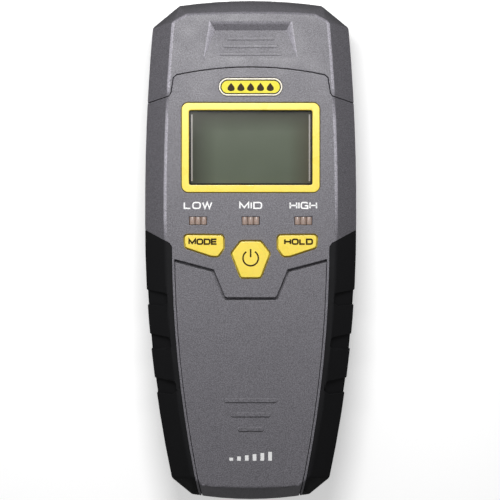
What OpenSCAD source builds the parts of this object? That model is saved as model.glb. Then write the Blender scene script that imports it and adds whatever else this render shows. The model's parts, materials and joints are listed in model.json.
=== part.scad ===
// Pin-type moisture meter, lying on its back.
// X runs across the meter, Y along it towards the pins, Z out of its face; the back is at Z = 0.

/* [Case] */
// Overall width, across the grips
body_w = 63; // [62:0.5:76]
// Overall length, with the cap on
body_l = 148.6; // [148:0.2:180]
// Thickness of the case, back to front face
body_t = 28; // [28:0.2:34]
// Wall thickness of the housings and the cap
wall = 2.2; // [2:0.1:2.6]
// Width across the shoulders of the cap
shoulder_w = 58.4; // [54:0.2:62]
// Width at the foot, above its corners
foot_w = 46.8; // [45:0.2:52]
// Width of the slanted side band on the front
side_bevel = 6; // [5:0.1:7]
// Width of the slanted band at the top and the foot
end_bevel = 3.9; // [3:0.1:5]
// Height of the slanted band on the front
bevel_h = 8; // [6:0.2:9]
// Width of the slanted band round the back
back_bevel = 5; // [4:0.1:6]
// Height of the slanted band round the back
back_bevel_h = 6; // [5:0.2:7]
// Height of the joint between the front and rear housings
seam_z = 12; // [11:0.5:13]
// Radius of the plan's corners
corner_r = 1.5; // [0.8:0.1:2]

/* [Cap] */
// Length of the cap along its sides
cap_l = 30.7; // [28:0.1:36]
// Gap between the cap and the housing, all along their joint
cap_gap = 0.25; // [0.2:0.05:0.4]
// Half width of the housing's tongue in the front of the cap
tongue_hw = 23.2; // [21:0.2:24]
// Height of the tongue above the cap's side edge
tongue_h = 10.5; // [9:0.1:11]
// Front wall of the cap
cap_front = 3; // [2.6:0.1:3.4]
// Depth of the thumb recess
recess_d = 1.8; // [1.2:0.1:1.8]

/* [Pins] */
// Distance between the pins
pin_pitch = 16; // [14:0.5:20]
// Diameter of a pin
pin_d = 2.2; // [1.8:0.1:2.6]
// Length of a pin outside its block
pin_l = 12.4; // [10:0.1:12.6]
// Height of the neck above the tongue
neck_rise = 4.4; // [4:0.1:6]

/* [Screen] */
// Width of the yellow screen frame
bezel_w = 40.9; // [38:0.1:43]
// Height of the yellow screen frame
bezel_h = 26.5; // [24:0.1:27.5]
// Width of the frame's bars
bezel_bar = 2.15; // [1.8:0.05:2.4]
// Height of the frame above the face
bezel_rise = 0.35; // [0.1:0.05:0.6]

/* [Keys and lights] */
// Height of the keys above the face
key_rise = 0.9; // [0.85:0.05:1.4]
// Travel of a key
key_travel = 0.8; // [0.5:0.05:0.8]
// Gap round a key
key_gap = 0.45; // [0.25:0.05:0.5]
// Distance between two light windows
light_pitch = 15.6; // [14:0.1:16]
// Width of a light window
light_w = 5.2; // [4.5:0.1:6]

/* [Lower half] */
// Thickness of the grips and of the lower panel
skin = 1.8; // [1.6:0.1:2]
// Width of a grip on the face, at its top
grip_top_w = 8.2; // [7.4:0.1:9]
// Width of a grip on the face, at the foot
grip_end_w = 7; // [6.4:0.1:7.6]
// Depth of the finger recesses in the grips
finger_d = 0.7; // [0.3:0.05:0.8]
// Width of the groove over the lower panel
groove_w = 0.87; // [0.5:0.01:1.1]
// Width of the housing's strip between the panel and a grip
strip_w = 0.65; // [0.4:0.05:0.9]

/* [Battery] */
// Width of the battery
bat_w = 26.5; // [26:0.1:27]
// Thickness of the battery
bat_t = 17.5; // [17:0.1:17.6]
// Length of the battery, without its terminals
bat_l = 46.4; // [46:0.1:46.6]
// Gap between the battery door and its guides
door_gap = 0.2; // [0.15:0.05:0.3]

/* [Hidden] */
$fn = 48;
far = 60;          // reaches past the case on every side
eps = 0.02;        // thickness of a slice that a form is drawn over
fit = 0.3;         // clearance between pieces that only stand next to each other
core = skin + wall + fit;   // depth of the inside of the lower half and of the neck

grey = "#7b7a80";
dark_grey = "#5c5b5e";
black = "#1b1b1d";
yellow = "#fbe86e";
cream = "#e8e2c8";

// Places along the meter
top = body_l / 2;
foot = -body_l / 2;
cap_y = top - cap_l;             // side edge of the cap
belly_top = cap_y - 29.6;        // the sides are straight between these two
belly_end = cap_y - 36.6;
bezel_y = cap_y - 13.25;         // centre of the screen
badge_y = cap_y + 4.7;
light_y = cap_y - 34.95;
keys_y = cap_y - 43.6;
grip_top = cap_y - 37.8;         // side edge of the grips
panel_y = cap_y - 58.5;          // top edge of the lower panel, at the middle
tongue_y = cap_y + tongue_h;
neck_y = tongue_y + neck_rise;

// Levels through the meter
face = body_t;
front_in = face - wall;          // inner face of the front wall, above the grips
lower_in = face - skin - wall;   // and behind the lower panel
board_z = 16;                    // underside of the circuit board
board_t = 1.6;
board_top = board_z + board_t;
pin_z = 14;

// Plan of the case: slightly bowed sides between cut corners
shoulder_y = top - 8.1;
foot_y = foot + 5.9;
shoulder_k = (body_w - shoulder_w) / 2 / pow(shoulder_y - belly_top, 2);
foot_k = (body_w - foot_w) / 2 / pow(belly_end - foot_y, 2);

function mix(a, b, t) = a + (b - a) * t;
function side_x(y) = body_w / 2 - (y > belly_top ? shoulder_k * pow(y - belly_top, 2)
    : y < belly_end ? foot_k * pow(belly_end - y, 2) : 0);
function both_sides(right) = concat(right, [for (i = [len(right) - 1:-1:0])
    if (right[i].x > eps) [-right[i].x, right[i].y]]);

// dx, dy: how far the sides and ends are moved in; cut_top, cut_foot: size of the cut corners
module outline(dx, dy, cut_top, cut_foot, bow) {
    ends = 4;
    steps = 14;
    top_x = side_x(shoulder_y) - dx - cut_top.x;
    foot_x = side_x(foot_y) - dx - cut_foot.x;
    upper_y = top - dy - bow - cut_top.y;
    lower_y = foot + dy + bow + cut_foot.y;
    right = concat(
        [for (i = [0:ends]) [top_x * i / ends, top - dy - bow * pow(i / ends, 2)]],
        [for (i = [0:steps]) let (y = mix(upper_y, lower_y, i / steps)) [side_x(y) - dx, y]],
        [for (i = [ends:-1:0]) [foot_x * i / ends, foot + dy + bow * pow(i / ends, 2)]]);
    offset(r = corner_r) offset(delta = -corner_r) polygon(both_sides(right));
}
module plan_side() outline(0, 0, [8, 6.6], [5.9, 4.9], 1.5);
module plan_face() outline(side_bevel, end_bevel, [4.4, 2.3], [3.6, 2.6], 0.5);
module plan_back() outline(back_bevel, back_bevel, [5.6, 3.8], [4, 3], 0.6);

// The whole case as one form, moved in by d on every side
module form(d) {
    hull() {
        translate([0, 0, d]) linear_extrude(eps) offset(delta = -d) plan_back();
        translate([0, 0, back_bevel_h]) linear_extrude(face - bevel_h - back_bevel_h)
            offset(delta = -d) plan_side();
        translate([0, 0, face - d - eps]) linear_extrude(eps) offset(delta = -d) plan_face();
    }
}
module prism(z0, z1) translate([0, 0, z0]) linear_extrude(z1 - z0) children();
module below(z) translate([-far, -2 * far, z - far]) cube([2 * far, 4 * far, far]);
module above(z) translate([-far, -2 * far, z]) cube([2 * far, 4 * far, far]);
module pill(w, h) {
    square([w - h, h], center = true);
    for (x = [-1, 1]) translate([x * (w - h) / 2, 0]) circle(d = h);
}
module round_box(w, h, r) {
    square([w - 2 * r, h], center = true);
    square([w, h - 2 * r], center = true);
    for (x = [-1, 1], y = [-1, 1]) translate([x * (w / 2 - r), y * (h / 2 - r)]) circle(r);
}
module rounded(r) offset(r = r) offset(delta = -r) children();
module along_y(y) translate([0, y, 0]) rotate([-90, 0, 0]) children();

// Joint between the cap and the housing, seen from the front
module cap_region() {
    lip = cap_y + 1.9;
    side_slope = 0.27;
    right = concat(
        [for (i = [0:6]) let (x = (tongue_hw - 1.3) * i / 6) [x, tongue_y - 2.3 * pow(i / 6, 2)]],
        [[tongue_hw - 0.4, tongue_y - 3.1], [tongue_hw + 0.3, lip + 1.1], [tongue_hw + 0.9, lip],
         [far, lip - side_slope * (far - tongue_hw)], [far, 2 * far]]);
    polygon(both_sides(right));
}

// Plan of the lower half: grips at the sides, panel between them
function grip_in(y) = side_x(y) - mix(grip_top_w, grip_end_w, (grip_top - y) / (grip_top - foot));
grip_steps = 9;
grip_lip = grip_top - 4;
module grip_region() {
    slant = 4.1 / 7.8;
    inner = [for (i = [0:grip_steps]) let (y = mix(grip_lip - 0.8, foot, i / grip_steps)) [grip_in(y), y]];
    x0 = grip_in(grip_lip);
    polygon(concat([[far, grip_lip + slant * (far - x0)], [x0 + 0.7, grip_lip + 0.25]], inner,
        [[grip_in(foot), -2 * far], [far, -2 * far]]));
}
module grip_regions() for (s = [0, 1]) mirror([s, 0]) grip_region();
function panel_side(y) = grip_in(y) - strip_w;
module panel_limit(gap) {
    right = [for (i = [0:grip_steps]) let (y = mix(keys_y, foot, i / grip_steps)) [panel_side(y) - gap, y]];
    polygon(both_sides(concat([[panel_side(keys_y) - gap, keys_y + 4]], right,
        [[panel_side(foot) - gap, -2 * far]])));
}
module panel_top() {
    rise = panel_y + 8.4;      // where the top edge turns outwards, and how steeply it goes on
    turn_x = 11.55;
    slope = 0.262;
    right = [[7.3, panel_y], [8.3, panel_y + 0.5], [turn_x, rise], [far, rise + slope * (far - turn_x)],
             [far, -2 * far]];
    polygon(both_sides(right));
}
module panel_region() intersection() {
    panel_top();
    panel_limit(0.25);
}
module panel_recess() intersection() {
    offset(delta = groove_w) panel_top();
    panel_limit(0);
}

// Key plans, about the keys' own centre
module side_key() rounded(key_r)
    polygon([[19.6, 4.4], [8.1, 4.3], [8.1, 0.5], [9.7, -1.8], [11.7, -1.7], [19.3, 0.8]]);
module middle_key() rounded(key_r)
    polygon([[2.9, 2.5], [5.6, -1], [2.85, -8.1], [-2.85, -8.1], [-5.6, -1], [-2.9, 2.5]]);
module key_plans() translate([0, keys_y]) {
    side_key();
    mirror([1, 0]) side_key();
    middle_key();
}

key_r = 0.9;
flange = 0.9;                    // how far a key's flange reaches past its plan
flange_z = front_in - 0.2;
key_foot = flange_z - 0.7;
membrane_top = key_foot - key_travel - 0.15;
membrane_hw = 21.2;
membrane_low = -9.4;             // its lower edge, from the keys' line
membrane_h = 15.2;
module membrane_plan() translate([-membrane_hw, membrane_low]) square([2 * membrane_hw, membrane_h]);
shroud_w = 2 * light_pitch + light_w + 1.8;
shroud_h = 4.2;
light_h = 2.25;
lcd_w = bezel_w - 2.4;
lcd_h = bezel_h - 1;

// Fastenings
case_screws = [[18, cap_y + 5.5], [-18, cap_y + 5.5], [19.4, foot + 17], [-19.4, foot + 17]];
board_screw_at = [[20.2, light_y + 4.4], [-20.2, light_y + 4.4], [14, keys_y - 12.2], [-14, keys_y - 12.2]];
screw_r = 1.2;
board_screw_r = 0.9;
post_r = 2.7;
board_post_r = 1.9;
head_z = 4;        // seat of the case screws' heads
head_r = 2;

// Seats of the screen frame and the badge
seat_gap = 0.2;
bezel_r = 2;
bezel_z = front_in + 0.7;
badge_w = 18.8;
badge_h = 5.2;
badge_rim = 0.45;
badge_t = 0.8;

// Cap ---------------------------------------------------------------------------------------
module thumb_recess() {
    near_y = top - 17.9;      // where the recess runs out
    wall_y = top - 7;         // top edge of its end wall
    floor_y = wall_y - 2.1;
    difference() {
        hull() {
            prism(face, face + 1)
                polygon([[-11.8, wall_y], [11.8, wall_y], [14.1, near_y], [-14.1, near_y]]);
            translate([-10.6, floor_y - 0.1, face - recess_d]) cube([21.2, 0.1, 0.1]);
        }
        for (i = [0:2]) {
            y = floor_y - 2.5 - 2.3 * i;
            floor_z = face - recess_d * (y - near_y) / (floor_y - near_y);
            prism(0, floor_z + 0.45) translate([0, y]) pill(14 + 2.15 * i, 0.95);
        }
    }
}
module cap() color(grey) {
    difference() {
        intersection() {
            form(0);
            prism(-1, face + 1) offset(delta = -cap_gap) cap_region();
        }
        intersection() {
            form(wall);
            below(face - cap_front);
        }
        thumb_recess();
    }
    for (x = [-1, 1]) translate([6 * x - 1.5, top - wall - 0.45, pin_z - 2]) cube([3, 1.5, 4]);
}
contact_y = top - wall - 0.95;
module cap_contact() color("#c9a24a") translate([-11, contact_y, pin_z - 2]) cube([22, 0.5, 4]);

// Housings ----------------------------------------------------------------------------------
lap = 1.8;                 // how far the walls of the neck and the lower half run into the upper part
boss_skin = skin + 0.2;    // how far the screw posts stay inside the case
module case_shell() {
    difference() {
        form(0);
        prism(-1, face + 1) cap_region();
        prism(4, face + 1) grip_regions();
        prism(seam_z, face + 1) panel_recess();
    }
    intersection() {
        form(skin);
        prism(0, face) translate([-far, -2 * far]) square([2 * far, 2 * far + grip_top + lap]);
    }
    intersection() {
        form(wall + fit);
        below(face - cap_front - fit);
        prism(0, face) translate([-far, cap_y - lap]) square([2 * far, neck_y - cap_y + lap]);
    }
}
module case_room() {
    intersection() {
        form(wall);
        prism(0, face) translate([-far, grip_top + lap]) square([2 * far, cap_y - grip_top - 2 * lap]);
    }
    intersection() {
        form(core);
        prism(-1, face) translate([-far, -2 * far]) square([2 * far, 2 * far + neck_y + 1]);
    }
    prism(seam_z, front_in) {
        translate([0, bezel_y]) square([lcd_w + 2 * fit + 1, lcd_h + 2 * fit + 1], center = true);
        translate([0, light_y]) square([shroud_w + 0.4, shroud_h + 0.4], center = true);
        offset(delta = flange + key_gap) key_plans();
    }
    prism(seam_z, membrane_top + 0.1) translate([0, keys_y]) offset(delta = fit) membrane_plan();
}
module front_housing() color(grey) difference() {
    union() {
        difference() {
            case_shell();
            case_room();
        }
        intersection() {
            form(boss_skin);
            union() {
                for (p = case_screws) prism(seam_z, face) translate(p) circle(post_r);
                for (p = board_screw_at) prism(board_top, face) translate(p) circle(board_post_r);
            }
        }
    }
    below(seam_z);
    for (p = case_screws) prism(seam_z - 1, seam_z + 8) translate(p) circle(screw_r);
    for (p = board_screw_at) prism(board_top - 1, board_top + 4) translate(p) circle(board_screw_r);
    prism(bezel_z, face + 1) translate([0, bezel_y])
        round_box(bezel_w + 2 * seat_gap, bezel_h + 2 * seat_gap, bezel_r + seat_gap);
    prism(seam_z, face + 1) translate([0, bezel_y])
        square([bezel_w - 2 * bezel_bar + 2, bezel_h - 2 * bezel_bar + 2], center = true);
    prism(face - badge_t, face + 1) translate([0, badge_y])
        pill(badge_w + 2 * seat_gap, badge_h + 2 * seat_gap);
    prism(seam_z, face + 1) offset(delta = key_gap) key_plans();
    prism(seam_z, face + 1) for (i = [-1:1]) translate([i * light_pitch, light_y])
        square([light_w + 0.2, light_h + 0.2], center = true);
}

// Battery bay, shared by the rear housing and the door
bay_hw = bat_w / 2 + 0.6;
door_hw = bay_hw + 1.6;
tongue = 1.1;              // how far the door's edges run into their guides
door_t = 2.4;
rib_t = 1.4;               // ribs beside the battery and round the door's guides
door_y = keys_y - 15.8;    // upper end of the door
door_edge_z = 1.2;         // underside of those edges
bat_foot = foot + 5.7;
label_w = 38;
label_h = 28;
label_r = 1.5;
label_t = 0.3;
label_z = 0.1;
label_y = cap_y - 20;
module door_channel(gap) {
    reach = 2 * far + door_y + gap;
    translate([-door_hw - gap, -2 * far, -1]) cube([2 * (door_hw + gap), reach, door_t + gap + 1]);
    translate([-door_hw - tongue - gap, -2 * far, door_edge_z - gap])
        cube([2 * (door_hw + tongue + gap), reach, door_t - door_edge_z + 2 * gap]);
}
module rear_housing() color(dark_grey) difference() {
    union() {
        difference() {
            case_shell();
            case_room();
        }
        intersection() {
            form(boss_skin);
            union() {
                for (p = case_screws) prism(1, seam_z) translate(p) circle(post_r);
                translate([-door_hw - tongue - rib_t, foot, 1])
                    cube([2 * (door_hw + tongue + rib_t), door_y - foot + rib_t, 3.5]);
            }
        }
        for (x = [-1, 1]) translate([x * (bay_hw + rib_t / 2) - rib_t / 2, bat_foot, 2])
            cube([rib_t, bat_l - 4, seam_z - 2]);
    }
    above(seam_z);
    for (p = case_screws) {
        prism(-1, far) translate(p) circle(screw_r + 0.25);
        prism(-1, head_z) translate(p) circle(head_r + 0.2);
    }
    door_channel(door_gap);
    translate([-bay_hw, bat_foot - 0.2, -1]) cube([2 * bay_hw, door_y - bat_foot - 0.8, far]);
    prism(-1, label_z + label_t) translate([0, label_y])
        round_box(label_w + fit, label_h + fit, label_r + fit / 2);
}
module battery_door() color(dark_grey) difference() {
    intersection() {
        form(0.1);
        door_channel(0);
    }
    for (i = [0:4]) translate([-7 + i, door_y - 14 + 2.2 * i, -1]) cube([14 - 2 * i, 0.9, 1.6]);
}
module back_label() color("#d9d9d4") prism(label_z, label_z + label_t) translate([0, label_y])
    round_box(label_w, label_h, label_r);

// Soft grips, one on each side
finger_first = 21.3;       // first finger recess, below the top of the grips
finger_step = 13.1;
finger_w = 5.2;
module finger_region(y) {
    x0 = side_x(y) - side_bevel - 0.2;
    rounded(0.8) polygon([[x0 + 0.4, y + 2.6], [x0, y - 0.2], [x0 + 1.3, y - 1.1], [far, y + 1.7],
        [far, y + finger_w + 2.8], [x0 + 6, y + finger_w - 1.6]]);
}
module grip() color(black) difference() {
    intersection() {
        form(0);
        prism(4, face + 1) grip_region();
    }
    form(skin);
    difference() {
        prism(back_bevel_h + 2, face + 1) for (i = [0:2])
            finger_region(grip_top - finger_first - finger_step * i);
        form(finger_d);
    }
}
module grip_right() grip();
module grip_left() mirror([1, 0, 0]) grip();

// Trim on the front -------------------------------------------------------------------------
module lower_panel() color(grey) {
    difference() {
        intersection() {
            form(0);
            prism(seam_z, face + 1) panel_region();
        }
        form(skin);
    }
    for (i = [0:2]) prism(face - 1, face + 0.45) translate([0, panel_y - 29.6 - 4.25 * i])
        pill(15.6 - 4 * i, 1.25);
}
module screen_bezel() color(yellow) difference() {
    prism(bezel_z, face + bezel_rise) translate([0, bezel_y]) round_box(bezel_w, bezel_h, bezel_r);
    prism(0, far) translate([0, bezel_y]) round_box(bezel_w - 2 * bezel_bar, bezel_h - 2 * bezel_bar, 0.6);
}
module screen_window() color("#c8d0c8", 0.4) translate([0, bezel_y, bezel_z - 0.6])
    cube([bezel_w - 2 * bezel_bar + 1.8, bezel_h - 2 * bezel_bar + 1.8, 1.2], center = true);
lcd_z = bezel_z - 1.4;        // top of the display glass
module lcd_glass() color("#70765f") translate([0, bezel_y, lcd_z - 1.1])
    cube([lcd_w, lcd_h, 2.2], center = true);
holder_top = lcd_z - 2.2;
module lcd_holder() color("#d8d8d0") difference() {
    prism(board_top, holder_top) translate([0, bezel_y]) square([bezel_w - 1.4, bezel_h], center = true);
    prism(board_top - 1, holder_top + 1) translate([0, bezel_y - bezel_h / 2 + 2.2])
        square([bezel_w - 5, 2], center = true);
}
module lcd_connector() color("#c65a2e") prism(board_top, holder_top)
    translate([0, bezel_y - bezel_h / 2 + 2.2]) square([bezel_w - 5.4, 1.6], center = true);
module badge_rim() color(cream) difference() {
    prism(face - badge_t, face + 0.35) translate([0, badge_y]) pill(badge_w, badge_h);
    badge_inside(far);
}
module badge_inside(height) prism(face - badge_t, height) translate([0, badge_y])
    pill(badge_w - 2 * badge_rim, badge_h - 2 * badge_rim);
module badge_plate() color("#f0e43b") badge_inside(face + 0.15);

// Light windows: clear blocks with three fluted ribs on top
flute = 0.5;
module light_window(i) color("#b8a396") translate([i * light_pitch, light_y, 0]) {
    prism(front_in - fit, face - flute) square([light_w, light_h], center = true);
    for (k = [-1:1]) translate([k * light_w / 3, 0, face - flute]) intersection() {
        rotate([90, 0, 0]) cylinder(r = light_w / 6, h = light_h, center = true);
        translate([0, 0, 1]) cube([light_w, 3, 2], center = true);
    }
}
module light_window_low() light_window(-1);
module light_window_mid() light_window(0);
module light_window_high() light_window(1);

// Keys: a cap over a flange that keeps them in
module key() color(yellow) translate([0, keys_y, 0]) {
    prism(key_foot, face + key_rise) children();
    prism(key_foot, flange_z) offset(delta = flange) children();
}
module mode_key() key() mirror([1, 0]) side_key();
module hold_key() key() side_key();
module power_key() key() middle_key();

// Under the keys and lights -----------------------------------------------------------------
switch_at = [[-13.6, 1.6], [0, -2.6], [13.6, 1.6]];
module key_membrane() color("#9aa0a6") {
    prism(membrane_top - 1, membrane_top) translate([0, keys_y]) difference() {
        membrane_plan();
        for (x = [-1, 1]) translate([x * 17.4, -6.6]) circle(1.6);
    }
    for (x = [-membrane_hw, membrane_hw - 1]) prism(board_top, membrane_top - 1)
        translate([x, keys_y + membrane_low]) square([1, membrane_h]);
    for (p = switch_at) prism(board_top + 3.7, membrane_top) translate([p.x, keys_y + p.y]) circle(2.2);
}
module key_switches() for (p = switch_at) translate([p.x, keys_y + p.y, board_top]) {
    color("#b9bcc0") translate([-3, -3, 0]) cube([6, 6, 3.1]);
    color(black) cylinder(r = 1.7, h = 3.6);
}
module leds() color("#efe6c0") for (i = [-1:1]) translate([i * light_pitch, light_y, board_top]) {
    translate([-1.6, -0.8, 0]) cube([3.2, 1.6, 0.8]);
    translate([0, 0, 0.8]) cylinder(r = 0.7, h = 0.5);
}
module light_shroud() color(black) difference() {
    prism(board_top, front_in - fit) translate([0, light_y]) square([shroud_w, shroud_h], center = true);
    prism(0, far) for (i = [-1:1]) translate([i * light_pitch, light_y])
        square([light_w - 0.6, 2.4], center = true);
}
board_hw = 22.2;
board_end = keys_y - 14.4;
module main_board() color("#1e6b3c") difference() {
    prism(board_z, board_top) translate([-board_hw, board_end])
        square([2 * board_hw, cap_y + 2.6 - board_end]);
    for (p = board_screw_at) prism(0, far) translate(p) circle(board_screw_r + 0.15);
}
module board_parts() {
    color(black) {
        translate([-12, bezel_y - 3, board_z - 1.5]) cube([11, 11, 1.5]);
        translate([5, bezel_y + 4, board_z - 1.7]) cube([5, 4, 1.7]);
        translate([-16, keys_y + 1, board_z - 1.7]) cube([5, 6.2, 1.7]);
        translate([-14, cap_y - 1, board_z - 1.7]) cube([6, 4, 1.7]);
    }
    color("#c8c8cc") {
        translate([-16, bezel_y - 12, board_z - 3.2]) cube([10.5, 4, 3.2]);
        translate([10, cap_y - 2, board_z - 5.2]) cylinder(r = 2.6, h = 5.2);
    }
    color("#b08a5a") for (i = [0:4]) translate([-18 + 4.2 * i, keys_y - 5, board_z - 1]) cube([2, 1.25, 1]);
}
module buzzer() color("#232326") translate([12, bezel_y - 9, board_z - 5]) difference() {
    cylinder(r = 6, h = 5);
    translate([0, 0, -1]) cylinder(r = 0.8, h = 2);
}

// Pins --------------------------------------------------------------------------------------
block_y = neck_y - 6.5;
module pin_block() color("#2b2b2e") difference() {
    intersection() {
        form(core);
        prism(0, face) translate([-far, block_y]) square([2 * far, neck_y - block_y]);
    }
    for (x = [-1, 1]) translate([x * pin_pitch / 2, 0, pin_z])
        along_y(block_y - 1) cylinder(d = pin_d, h = neck_y - block_y + 2);
}
tip_l = 3.2;
collar_r = 2.9;
collar_l = 2.6;
module pin(s) color("#c9ccd0") translate([s * pin_pitch / 2, 0, pin_z]) {
    along_y(block_y - 3.2) cylinder(d = pin_d, h = neck_y - block_y + 3.2 + pin_l - tip_l);
    along_y(neck_y + pin_l - tip_l) cylinder(d1 = pin_d, d2 = 0.2, h = tip_l);
}
module pin_left() pin(-1);
module pin_right() pin(1);
module pin_collars() color("#b8bbc0") for (x = [-1, 1]) translate([x * pin_pitch / 2, 0, pin_z])
    difference() {
        union() {
            along_y(neck_y) cylinder(r = collar_r, h = collar_l);
            along_y(neck_y + collar_l) cylinder(r1 = collar_r, r2 = collar_r - 1, h = 1);
        }
        along_y(neck_y - 1) cylinder(d = pin_d, h = collar_l + 3);
    }
module pin_nuts() color("#d8b05a") for (x = [-1, 1]) translate([x * pin_pitch / 2, 0, pin_z]) difference() {
    along_y(block_y - 2) cylinder(r = 2.7, h = 2, $fn = 6);
    along_y(block_y - 3) cylinder(d = pin_d, h = 4);
}
module pin_terminals() color("#d8b05a") for (x = [-1, 1]) translate([x * pin_pitch / 2, 0]) difference() {
    union() {
        translate([-2.4, block_y - 2.5, pin_z - 2.6]) cube([4.8, 0.5, board_top + 0.4 - pin_z + 2.6]);
        translate([-1.5, cap_y + 0.5, board_top]) cube([3, block_y - 2 - cap_y - 0.5, 0.4]);
    }
    translate([0, 0, pin_z]) along_y(block_y - 3) cylinder(d = pin_d, h = 2);
}

// Battery -----------------------------------------------------------------------------------
bat_z = door_t + 0.25;
bat_mid = bat_z + bat_t / 2;
bat_top_y = bat_foot + bat_l;
snap_x = 6.35;                 // half the spacing of the terminals
module battery() color("#34363b") translate([0, bat_foot, bat_mid]) rotate([-90, 0, 0])
    linear_extrude(bat_l) round_box(bat_w, bat_t, 1.5);
module battery_terminals() color("#c8c8cc") {
    translate([-snap_x, 0, bat_mid]) along_y(bat_top_y) cylinder(r = 2.9, h = 2);
    translate([snap_x, 0, bat_mid]) along_y(bat_top_y) difference() {
        cylinder(r = 4, h = 2, $fn = 6);
        translate([0, 0, 0.6]) cylinder(r = 2.6, h = 3);
    }
}
snap_y = bat_top_y + 2;
module battery_snap() color("#1c1c1e") translate([0, snap_y, bat_mid]) rotate([-90, 0, 0])
    linear_extrude(1.6) round_box(25, 12.6, 2);
lead_r = 0.7;
bend = 2;
module lead(x) translate([x, 0, 0]) {
    y0 = snap_y + 1.6;
    y1 = keys_y - 11;
    translate([0, 0, bat_mid]) along_y(y0) cylinder(r = lead_r, h = y1 - bend - y0);
    translate([0, y1 - bend, bat_mid + bend]) rotate([0, 90, 0])
        rotate_extrude(angle = 90) translate([bend, 0]) circle(lead_r);
    translate([0, y1, bat_mid + bend]) cylinder(r = lead_r, h = board_z - bat_mid - bend);
}
module lead_red() color("#b02020") lead(-3);
module lead_black() color("#202022") lead(3);
module battery_pad() color("#3a3a3e") translate([-10, bat_foot + 6, bat_z + bat_t])
    cube([20, bat_l - 14, lower_in - bat_z - bat_t - fit]);
module compartment_wall() color(dark_grey) difference() {
    translate([-19, door_y - 0.2, core + fit]) cube([38, 1.3, lower_in - core - 2 * fit]);
    for (x = [-3, 3]) translate([x, 0, bat_mid]) along_y(door_y - 2) cylinder(r = lead_r + 0.2, h = 6);
}

// Screws ------------------------------------------------------------------------------------
module board_screws() color("#9a9ca0") for (p = board_screw_at) translate([p.x, p.y, 0]) difference() {
    union() {
        translate([0, 0, board_z - 1.1]) cylinder(r = 1.7, h = 1.1);
        translate([0, 0, board_z - 0.5]) cylinder(r = board_screw_r, h = 5);
    }
    for (a = [0, 90]) rotate([0, 0, a]) translate([-1, -0.2, board_z - 1.3]) cube([2, 0.4, 0.7]);
}
module housing_screws() color("#9a9ca0") for (p = case_screws) translate([p.x, p.y, 0]) difference() {
    union() {
        translate([0, 0, head_z - 1.8]) cylinder(r = head_r, h = 1.8);
        translate([0, 0, head_z - 0.5]) cylinder(r = screw_r, h = seam_z + 6.5 - head_z);
    }
    for (a = [0, 90]) rotate([0, 0, a]) translate([-1.3, -0.25, head_z - 2]) cube([2.6, 0.5, 1.1]);
}

cap();
cap_contact();
front_housing();
badge_rim();
badge_plate();
lower_panel();
screen_bezel();
screen_window();
lcd_glass();
lcd_holder();
lcd_connector();
light_window_low();
light_window_mid();
light_window_high();
mode_key();
power_key();
hold_key();
grip_left();
grip_right();
rear_housing();
battery_door();
back_label();
pin_block();
pin_left();
pin_right();
pin_collars();
pin_nuts();
pin_terminals();
main_board();
board_parts();
key_membrane();
key_switches();
leds();
light_shroud();
buzzer();
battery();
battery_terminals();
battery_snap();
lead_red();
lead_black();
battery_pad();
compartment_wall();
board_screws();
housing_screws();
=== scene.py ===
"""Pin-type moisture meter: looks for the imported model, laid out as an add-on and run as a script."""
import json
import math

import bmesh
import bpy
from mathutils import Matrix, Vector


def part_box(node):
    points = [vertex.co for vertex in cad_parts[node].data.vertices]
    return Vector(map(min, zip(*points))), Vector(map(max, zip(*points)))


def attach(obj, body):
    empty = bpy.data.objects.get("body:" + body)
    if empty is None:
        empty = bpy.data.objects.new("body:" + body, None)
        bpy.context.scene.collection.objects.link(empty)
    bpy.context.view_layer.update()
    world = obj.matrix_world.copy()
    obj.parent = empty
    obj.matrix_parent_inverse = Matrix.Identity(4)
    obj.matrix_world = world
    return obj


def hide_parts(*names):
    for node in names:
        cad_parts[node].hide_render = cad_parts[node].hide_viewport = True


bl_info = {
    "name": "Moisture Meter",
    "version": (1, 0, 0),
    "blender": (4, 5, 0),
    "location": "View3D > Sidebar > Meter",
    "description": "Finishes the pieces of a pin-type moisture meter and sets its stage",
    "category": "Object",
}

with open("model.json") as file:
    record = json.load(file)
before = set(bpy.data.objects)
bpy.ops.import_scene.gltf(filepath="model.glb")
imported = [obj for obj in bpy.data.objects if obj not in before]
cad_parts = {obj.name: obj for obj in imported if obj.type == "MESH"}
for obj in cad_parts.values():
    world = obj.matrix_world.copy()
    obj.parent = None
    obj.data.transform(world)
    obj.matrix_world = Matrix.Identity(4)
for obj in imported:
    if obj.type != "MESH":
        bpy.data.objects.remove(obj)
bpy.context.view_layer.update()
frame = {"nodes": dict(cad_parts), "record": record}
MM = 0.001
BODY_OF = {n: b for b, nodes in frame["record"]["behaviour"]["bodies"].items() for n in nodes}
SLOT_OF = {s["node"]: s["material_slot"] for s in frame["record"]["subparts"]}
FACE_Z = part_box("front_housing")[1].z
COLOUR_A, COLOUR_B = 6, 7  # a Mix node's inputs for colours


def linear(code):
    """Linear colour of an sRGB hex code such as '#7b7a80'."""
    values = [int(code[i:i + 2], 16) / 255 for i in (1, 3, 5)]
    return tuple(v / 12.92 if v <= 0.04045 else ((v + 0.055) / 1.055) ** 2.4 for v in values)


def shade(rgb, k):
    """The colour made k times as bright."""
    return tuple(min(1.0, c * k) for c in rgb)


def middle(node):
    """Centre of a node's box."""
    low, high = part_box(node)
    return (low + high) / 2


# Sizes and colours ---------------------------------------------------------------------------

def length(name, text, value):
    return bpy.props.FloatProperty(name=name, description=text, default=value, unit="LENGTH", precision=5)


def colour(name, text, code):
    return bpy.props.FloatVectorProperty(
        name=name, description=text, default=linear(code), subtype="COLOR", min=0, max=1)


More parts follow.
